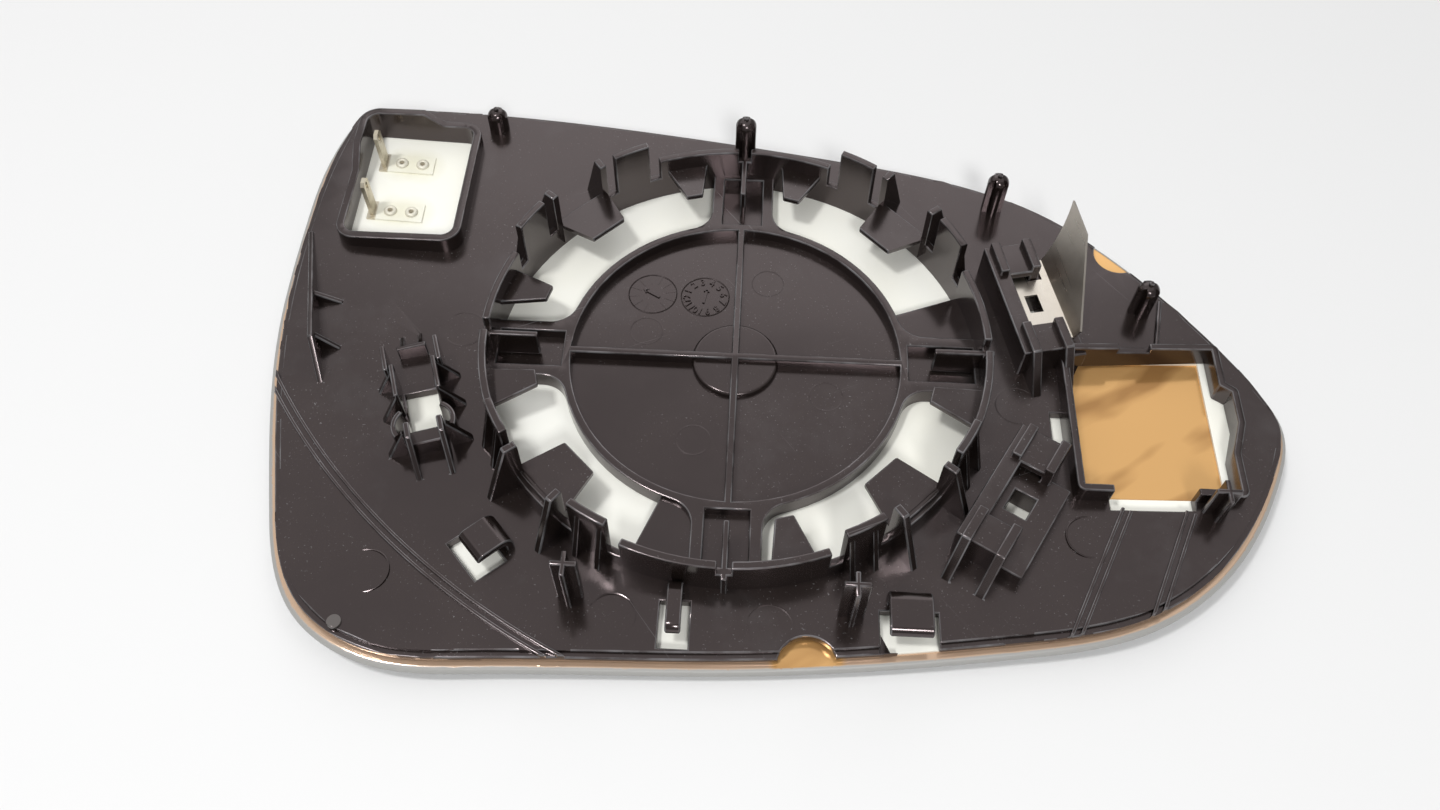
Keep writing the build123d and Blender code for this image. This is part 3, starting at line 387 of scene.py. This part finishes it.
@dataclass(frozen=True)
class CoatedGlass:
    """Mirror glass: copper-coloured coat on its back, paler at the rim, silver front, ground edge."""

    coat: Colour = (0.760, 0.440, 0.168)
    streak: Colour = (0.360, 0.175, 0.056)
    rim: Colour = (0.640, 0.450, 0.315)
    bare_places: tuple[Place, ...] = (
        (74.5 * MM, -12.0 * MM, 5.0 * MM),
        (14.2 * MM, -58.0 * MM, 4.0 * MM),
        (74.2 * MM, 30.0 * MM, 4.5 * MM),
    )
    bare_radii: tuple[float, ...] = (20.0 * MM, 5.5 * MM, 5.5 * MM)
    bare_fade: float = 1.2
    silver: Colour = (0.880, 0.895, 0.900)
    edge: Colour = (0.350, 0.345, 0.330)
    edge_roughness: float = 0.42
    face_limits: tuple[float, float] = (0.960, 0.990)
    coat_metal: float = 0.5
    streak_scale: Place = (48.0, 150.0, 48.0)
    streak_turn: float = 33.0
    streak_share: float = 0.8

    def material(self) -> bpy.types.Material:
        """Builds the coated glass."""
        graph = Graph("coated_glass")
        streaks = graph.noise(1.0, 2.0, 0.5, graph.stretched(self.streak_scale, self.streak_turn))
        coat = graph.mix(graph.ramp(streaks, 0.5, 0.68, 0.0, self.streak_share), self.coat, self.streak)
        shown = self.rim
        for place, radius in zip(self.bare_places, self.bare_radii):
            shown = graph.mix(graph.near(place, radius, self.bare_fade * radius), shown, coat)
        upward = graph.upward()
        flat = graph.nodes.new("ShaderNodeMath")
        flat.operation = "ABSOLUTE"
        graph.join(upward, flat.inputs[0])
        face = graph.ramp(flat.outputs["Value"], *self.face_limits)
        shown = graph.mix(graph.ramp(upward, -0.5, 0.5), self.silver, shown)
        graph.join(graph.mix(face, self.edge, shown), graph.surface.inputs["Base Color"])
        metal = graph.combine(face, graph.ramp(upward, -0.5, 0.5, 1.0, self.coat_metal))
        graph.join(metal, graph.surface.inputs["Metallic"])
        shine = graph.ramp(graph.noise(45.0, 3.0), 0.3, 0.75, 0.08, 0.2)
        ground = graph.ramp(face, 0.0, 1.0, self.edge_roughness, 0.0)
        graph.join(graph.combine(shine, ground, "MAXIMUM"), graph.surface.inputs["Roughness"])
        return graph.material


@dataclass(frozen=True)
class SheetMetal:
    """Stamped sheet metal with fine rolling lines and a few stains."""

    name: str
    bright: Colour
    stain: Colour
    gloss: float
    dull: float
    turn: float = 0.0
    metallic: float = 1.0

    def material(self) -> bpy.types.Material:
        """Builds the metal."""
        graph = Graph(self.name)
        stains = graph.ramp(graph.noise(190.0, 4.0, 0.6), 0.45, 0.8)
        lines = graph.noise(1.0, 2.0, 0.5, graph.stretched((60.0, 4200.0, 60.0), self.turn))
        colour = graph.mix(graph.ramp(stains, 0.0, 1.0, 0.0, 0.7), self.bright, self.stain)
        graph.join(colour, graph.surface.inputs["Base Color"])
        graph.surface.inputs["Metallic"].default_value = self.metallic
        graph.join(graph.ramp(lines, 0.3, 0.7, self.gloss, self.dull), graph.surface.inputs["Roughness"])
        graph.bump(lines, 0.05, 0.004 * MM)
        return graph.material


@dataclass(frozen=True)
class TerminalFinish:
    """Tin-plated blade on a foot that lies under the mat's film."""

    tin: Colour = (0.640, 0.590, 0.480)
    stain: Colour = (0.450, 0.390, 0.290)
    film: MatFilm = MatFilm()
    film_edge: float = -75.2 * MM
    film_fade: float = 0.3 * MM

    def material(self, rivets: list[Place]) -> bpy.types.Material:
        """Builds the finish.

        Args:
            rivets: Middles of the rivets.

        Returns:
            The finish's material.
        """
        graph = Graph("terminal_finish")
        covered = graph.ramp(graph.axis("X"), self.film_edge, self.film_edge + self.film_fade)
        metal = graph.mix(graph.ramp(graph.noise(420.0, 4.0), 0.4, 0.75), self.tin, self.stain)
        film = self.film.colour(graph, rivets)
        graph.join(graph.mix(covered, metal, film), graph.surface.inputs["Base Color"])
        graph.join(graph.ramp(covered, 0.0, 1.0, 1.0, 0.0), graph.surface.inputs["Metallic"])
        graph.join(graph.ramp(graph.noise(300.0), 0.3, 0.7, 0.3, 0.5), graph.surface.inputs["Roughness"])
        return graph.material


@dataclass
class CarrierPlate:
    """Moulded plate with its ring, seats, hooks and frame, with rounded edges."""

    edge_rounds: tuple[float, ...] = (0.28 * MM, 0.16 * MM)
    edge_segments: int = 2
    room: float = 2.35
    sharp_angle: float = radians(40.0)
    smooth_angle: float = radians(38.0)
    flat_angle: float = radians(0.25)
    merge: float = 0.002 * MM
    finish: PlatePlastic = field(default_factory=PlatePlastic)

    def build(self, node: bpy.types.Object) -> bpy.types.Object:
        """Copies the plate's mesh, rounds its edges and gives it its finish.

        Args:
            node: The plate's CAD object.

        Returns:
            The piece that stands for the plate.
        """
        shape = bmesh.new()
        shape.from_mesh(node.data)
        bmesh.ops.remove_doubles(shape, verts=shape.verts, dist=self.merge)
        bmesh.ops.dissolve_limit(
            shape, angle_limit=self.flat_angle, verts=shape.verts, edges=shape.edges, delimit={"NORMAL"}
        )
        layer = shape.faces.layers.float.new(EDGE)
        for offset in self.edge_rounds:
            rounds = bmesh.ops.bevel(
                shape,
                geom=self.corners(shape, self.room * offset),
                offset=offset,
                offset_type="OFFSET",
                segments=self.edge_segments,
                profile=0.5,
                affect="EDGES",
                clamp_overlap=False,
                material=-1,
            )
            # marks the rounded faces, where the plastic paints its lighter edge colour, partly wear and partly
            # painted highlight
            for face in rounds["faces"]:
                face[layer] = 1.0
        bmesh.ops.dissolve_degenerate(shape, dist=self.merge, edges=shape.edges)
        bmesh.ops.triangulate(shape, faces=[face for face in shape.faces if len(face.verts) > 4])
        for face in shape.faces:
            face.smooth = True
        for edge in shape.edges:
            edge.smooth = edge.calc_face_angle(0.0) < self.smooth_angle
        mesh = bpy.data.meshes.new("plate_rounded")
        shape.to_mesh(mesh)
        shape.free()
        mesh.attributes.remove(mesh.attributes["custom_normal"])
        mesh.materials.append(self.finish.material())
        piece = bpy.data.objects.new("plate_rounded", mesh)
        bpy.context.collection.objects.link(piece)
        weights = piece.modifiers.new("even_normals", "WEIGHTED_NORMAL")
        weights.keep_sharp = True
        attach(piece, "root")
        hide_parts(Part.PLATE.value)
        return piece

    def corners(self, shape: bmesh.types.BMesh, room: float) -> list[bmesh.types.BMEdge]:
        """Outer corners of the plate that have room to be rounded.

        Args:
            shape: The plate's mesh.
            room: Width that the faces beside a corner need, in metres.

        Returns:
            The edges to bevel.
        """
        sharp = {
            edge
            for edge in shape.edges
            if edge.is_manifold
            and edge.is_convex
            and edge.calc_face_angle() > self.sharp_angle
            and all(self.width(face, edge) > room for face in edge.link_faces)
        }
        tight = {
            vert
            for vert in shape.verts
            if any(edge not in sharp and edge.calc_length() < room for edge in vert.link_edges)
        }
        return [edge for edge in sharp if not tight.intersection(edge.verts)]

    @staticmethod
    def width(face: bmesh.types.BMFace, edge: bmesh.types.BMEdge) -> float:
        """How far a face reaches from one of its edges.

        Args:
            face: The face.
            edge: One of its edges.

        Returns:
            The reach, in metres.
        """
        start = edge.verts[0].co
        along = (edge.verts[1].co - start).normalized()
        return max((vert.co - start).cross(along).length for vert in face.verts)


@dataclass
class MouldMarks:
    """Ejector rings on the plate and two date dials on its disc, raised a little, in millimetres."""

    dial_places: tuple[tuple[float, float], ...] = ((-16.8, 15.4), (-6.5, 15.2))
    dial_radius: float = 4.7
    digit_circle: float = 3.55
    digit_size: float = 2.1
    hours: int = 12
    first_angle: float = 160.0
    arrow_length: float = 3.2
    arrow_turns: tuple[float, ...] = (150.0, 80.0)
    small_radius: float = 3.1
    small_places: tuple[tuple[float, float], ...] = ((-17.3, 6.4), (5.7, 19.2), (17.2, -7.0), (-6.9, -17.6))
    large_radius: float = 3.9
    large_places: tuple[tuple[float, float], ...] = (
        (-52.0, 4.2),
        (52.2, -7.8),
        (-60.0, -47.1),
        (-18.2, -52.6),
        (7.9, -53.4),
        (62.1, -34.5),
        (61.5, 25.4),
    )
    line: float = 0.22
    relief: float = 0.05
    digit_relief: float = 0.26
    drop: float = 50.0
    steps: int = 64
    merge: float = 0.001 * MM

    def build(self, node: bpy.types.Object, material: bpy.types.Material) -> bpy.types.Object:
        """Makes the marks and sets them on the plate.

        Args:
            node: The plate's CAD object.
            material: The plate's finish.

        Returns:
            The piece with all the marks.
        """
        plate = bmesh.new()
        plate.from_mesh(node.data)
        surface = BVHTree.FromBMesh(plate)
        plate.free()
        shape = bmesh.new()
        for place in self.small_places:
            self.ring(shape, self.seat(surface, place), self.small_radius, self.relief)
        for place in self.large_places:
            self.ring(shape, self.seat(surface, place), self.large_radius, self.relief)
        for number, place in enumerate(self.dial_places):
            seat = self.seat(surface, place)
            self.ring(shape, seat, self.dial_radius, self.digit_relief / 2)
            self.arrow(shape, seat, self.arrow_turns[number])
            self.scale(shape, seat, numbered=number > 0)
        bmesh.ops.remove_doubles(shape, verts=shape.verts, dist=self.merge)
        bmesh.ops.recalc_face_normals(shape, faces=shape.faces)
        mesh = bpy.data.meshes.new("mould_marks")
        shape.to_mesh(mesh)
        shape.free()
        mesh.materials.append(material)
        piece = bpy.data.objects.new("mould_marks", mesh)
        bpy.context.collection.objects.link(piece)
        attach(piece, "root")
        return piece

    def seat(self, surface: BVHTree, place: tuple[float, float]) -> Matrix:
        """Finds the plate under a place.

        Args:
            surface: The plate's faces.
            place: X and Y in millimetres.

        Returns:
            Matrix from millimetres on the plate to the scene.
        """
        above = Vector((place[0], place[1], self.drop)) * MM
        spot, normal, _, _ = surface.ray_cast(above, Vector((0.0, 0.0, -1.0)))
        turn = normal.to_track_quat("Z", "Y").to_matrix()
        flat = Matrix.Rotation(-turn.col[0].to_2d().angle_signed(Vector((1.0, 0.0))), 3, "Z")
        return Matrix.Translation(spot) @ (flat.inverted() @ turn).to_4x4() @ Matrix.Scale(MM, 4)

    def ring(self, shape: bmesh.types.BMesh, seat: Matrix, radius: float, relief: float) -> None:
        """Adds a thin raised ring.

        Args:
            shape: Mesh that takes the ring.
            seat: Place on the plate.
            radius: Radius in millimetres.
            relief: Height above the plate in millimetres.
        """
        inner, outer = radius - self.line / 2, radius + self.line / 2
        shoulder = relief / 2
        corners = ((inner, -relief), (outer, -relief), (outer, shoulder), (radius, relief), (inner, shoulder))
        verts = [shape.verts.new((x, 0.0, z)) for x, z in corners]
        edges = [shape.edges.new((verts[i - 1], verts[i])) for i in range(len(verts))]
        before = set(shape.verts) - set(verts)
        bmesh.ops.spin(
            shape,
            geom=verts + edges,
            cent=(0, 0, 0),
            axis=(0, 0, 1),
            angle=2 * pi,
            steps=self.steps,
            use_merge=True,
        )
        bmesh.ops.transform(shape, matrix=seat, verts=[vert for vert in shape.verts if vert not in before])

    def arrow(self, shape: bmesh.types.BMesh, seat: Matrix, turn: float) -> None:
        """Adds the pointer of a dial.

        Args:
            shape: Mesh that takes the pointer.
            seat: Place on the plate.
            turn: Direction in degrees.
        """
        aim = seat @ Matrix.Rotation(radians(turn), 4, "Z")
        bar = Matrix.Diagonal((self.arrow_length, 2 * self.line, 2 * self.digit_relief, 1.0))
        bmesh.ops.create_cube(shape, size=1.0, matrix=aim @ bar)
        head = Matrix.Translation((self.arrow_length / 2, 0.0, 0.0))
        bmesh.ops.create_cone(
            shape,
            cap_ends=True,
            segments=3,
            radius1=3 * self.line,
            radius2=3 * self.line,
            depth=2 * self.digit_relief,
            matrix=aim @ head @ Matrix.Rotation(-pi / 2, 4, "Z"),
        )

    def scale(self, shape: bmesh.types.BMesh, seat: Matrix, numbered: bool) -> None:
        """Adds the numbers or the ticks round a dial.

        Args:
            shape: Mesh that takes them.
            seat: Place on the plate.
            numbered: Whether numbers stand in place of the ticks.
        """
        for hour in range(self.hours):
            spoke = seat @ Matrix.Rotation(radians(self.first_angle - hour * 360.0 / self.hours), 4, "Z")
            spot = spoke @ Matrix.Translation((self.digit_circle, 0.0, 0.0))
            if numbered:
                upright = spot @ Matrix.Rotation(-pi / 2, 4, "Z")
                self.number(shape, upright, str(hour + 1))
            else:
                tick = Matrix.Diagonal((self.digit_size, self.line, 2 * self.relief, 1.0))
                bmesh.ops.create_cube(shape, size=1.0, matrix=spot @ tick)

    def number(self, shape: bmesh.types.BMesh, place: Matrix, text: str) -> None:
        """Adds a raised number.

        Args:
            shape: Mesh that takes the number.
            place: Where its middle lies.
            text: The number.
        """
        curve = bpy.data.curves.new("number", "FONT")
        curve.body = text
        curve.size = self.digit_size
        curve.extrude = self.digit_relief
        curve.align_x = curve.align_y = "CENTER"
        curve.resolution_u = 3
        holder = bpy.data.objects.new("number", curve)
        mesh = bpy.data.meshes.new_from_object(holder)
        mesh.transform(place)
        shape.from_mesh(mesh)
        bpy.data.objects.remove(holder)
        bpy.data.curves.remove(curve)
        bpy.data.meshes.remove(mesh)


@dataclass
class GlassAndMat:
    """Coated glass and the heater film on its back."""

    glass: CoatedGlass = field(default_factory=CoatedGlass)
    film: MatFilm = field(default_factory=MatFilm)

    def dress(self, nodes: dict[str, bpy.types.Object]) -> None:
        """Gives the glass and the mat their finishes.

        Args:
            nodes: CAD objects by name.
        """
        paint(nodes[Part.GLASS.value], self.glass.material())
        paint(nodes[Part.MAT.value], self.film.material(rivet_places(nodes)))


@dataclass
class MetalParts:
    """Terminals, rivets and the spring clip."""

    terminal: TerminalFinish = field(default_factory=TerminalFinish)
    rivet: SheetMetal = SheetMetal("rivet_tin", (0.74, 0.71, 0.60), (0.62, 0.58, 0.46), 0.4, 0.5, metallic=0.25)
    clip: SheetMetal = SheetMetal("clip_steel", (0.78, 0.72, 0.64), (0.62, 0.56, 0.48), 0.27, 0.32, 102.0)

    def dress(self, nodes: dict[str, bpy.types.Object]) -> None:
        """Gives the metal parts their finishes.

        Args:
            nodes: CAD objects by name.
        """
        tin, rivet = self.terminal.material(rivet_places(nodes)), self.rivet.material()
        for name, node in nodes.items():
            if name.startswith(Part.TERMINAL.value):
                paint(node, tin)
            elif name.startswith(Part.RIVET.value):
                paint(node, rivet)
        paint(nodes[Part.CLIP.value], self.clip.material())


@dataclass(frozen=True)
class Lamp:
    """Square soft light: place and side in metres, power in watts."""

    name: str
    place: Place
    size: float
    power: float


@dataclass
class Studio:
    """Pale floor, soft light and the camera of the photograph."""

    lamps: tuple[Lamp, ...] = (
        Lamp("ceiling_panel", (-0.15, 0.35, 1.0), 1.8, 4.8),
        Lamp("back_panel", (0.0, 1.0, 0.7), 0.8, 1.5),
        Lamp("left_panel", (-0.30, -0.10, 0.85), 0.12, 3.0),
        Lamp("front_panel", (0.12, -0.65, 0.65), 0.16, 3.2),
    )
    floor_size: float = 6.0
    floor_drop: float = 0.02 * MM
    floor_roughness: float = 0.8
    floor_colour: Colour = (0.80, 0.80, 0.80)
    world_strength: float = 0.30
    focal_length: float = 29.33
    sensor_width: float = 36.0
    clip_start: float = 0.005
    camera_place: Place = (2.083 * MM, -126.94 * MM, 187.07 * MM)
    camera_right: Place = (0.99880568, 0.04840455, 0.00664984)
    camera_down: Place = (0.0443237, -0.84039115, -0.54016491)

    def build(self) -> None:
        """Makes the floor, the lights and the camera."""
        self.floor()
        for lamp in self.lamps:
            self.light(lamp)
        self.world()
        self.camera()

    def floor(self) -> None:
        """Plain pale floor under the lowest point of the glass."""
        shape = bmesh.new()
        bmesh.ops.create_grid(shape, x_segments=1, y_segments=1, size=self.floor_size / 2)
        mesh = bpy.data.meshes.new("floor")
        shape.to_mesh(mesh)
        shape.free()
        graph = Graph("floor_paper")
        graph.surface.inputs["Base Color"].default_value = (*self.floor_colour, 1.0)
        graph.surface.inputs["Roughness"].default_value = self.floor_roughness
        mesh.materials.append(graph.material)
        floor = bpy.data.objects.new("floor", mesh)
        floor.location.z = -self.floor_drop
        bpy.context.collection.objects.link(floor)

    @staticmethod
    def light(lamp: Lamp) -> None:
        """Sets up a soft light that looks at the object.

        Args:
            lamp: The light's name, place, size and power.
        """
        light = bpy.data.lights.new(lamp.name, "AREA")
        light.size = lamp.size
        light.energy = lamp.power
        holder = bpy.data.objects.new(lamp.name, light)
        holder.location = lamp.place
        holder.rotation_euler = (-Vector(lamp.place)).to_track_quat("-Z", "Y").to_euler()
        bpy.context.collection.objects.link(holder)

    def world(self) -> None:
        """Even white surroundings."""
        world = bpy.data.worlds.new("white_room")
        world.use_nodes = True
        back = world.node_tree.nodes["Background"]
        back.inputs["Color"].default_value = (1.0, 1.0, 1.0, 1.0)
        back.inputs["Strength"].default_value = self.world_strength
        bpy.context.scene.world = world

    def camera(self) -> None:
        """Camera at the place and angle of the photograph."""
        lens = bpy.data.cameras.new("camera")
        lens.lens = self.focal_length
        lens.sensor_width = self.sensor_width
        lens.clip_start = self.clip_start
        right = Vector(self.camera_right)
        up = -Vector(self.camera_down)
        turn = Matrix((right, up, right.cross(up))).transposed().to_4x4()
        holder = bpy.data.objects.new("camera", lens)
        holder.matrix_world = Matrix.Translation(self.camera_place) @ turn
        bpy.context.collection.objects.link(holder)
        bpy.context.scene.camera = holder


def paint(node: bpy.types.Object, material: bpy.types.Material) -> None:
    """Puts a finish on a part that keeps its own mesh.

    Args:
        node: The part's object.
        material: Its finish.
    """
    if not node.material_slots:
        node.data.materials.append(material)
    for slot in node.material_slots:
        slot.material = material


def rivet_places(nodes: dict[str, bpy.types.Object]) -> list[Place]:
    """Middles of the rivets' boxes.

    Args:
        nodes: CAD objects by name.

    Returns:
        The middles, in metres.
    """
    boxes = [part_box(name) for name in nodes if name.startswith(Part.RIVET.value)]
    return [tuple((a + b) / 2 for a, b in zip(low, high)) for low, high in boxes]


def main() -> None:
    """Builds the scene and notes its size."""
    logging.basicConfig(level=logging.INFO)
    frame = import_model()
    bpy.context.scene.view_settings.view_transform = "Standard"
    nodes = frame["nodes"]
    plate = CarrierPlate().build(nodes[Part.PLATE.value])
    LOG.info("%s: %d faces", plate.name, len(plate.data.polygons))
    marks = MouldMarks().build(nodes[Part.PLATE.value], plate.data.materials[0])
    LOG.info("%s: %d faces", marks.name, len(marks.data.polygons))
    GlassAndMat().dress(nodes)
    LOG.info("glass and mat dressed")
    MetalParts().dress(nodes)
    LOG.info("terminals, rivets and clip dressed")
    Studio().build()


if __name__ == "__main__":
    main()
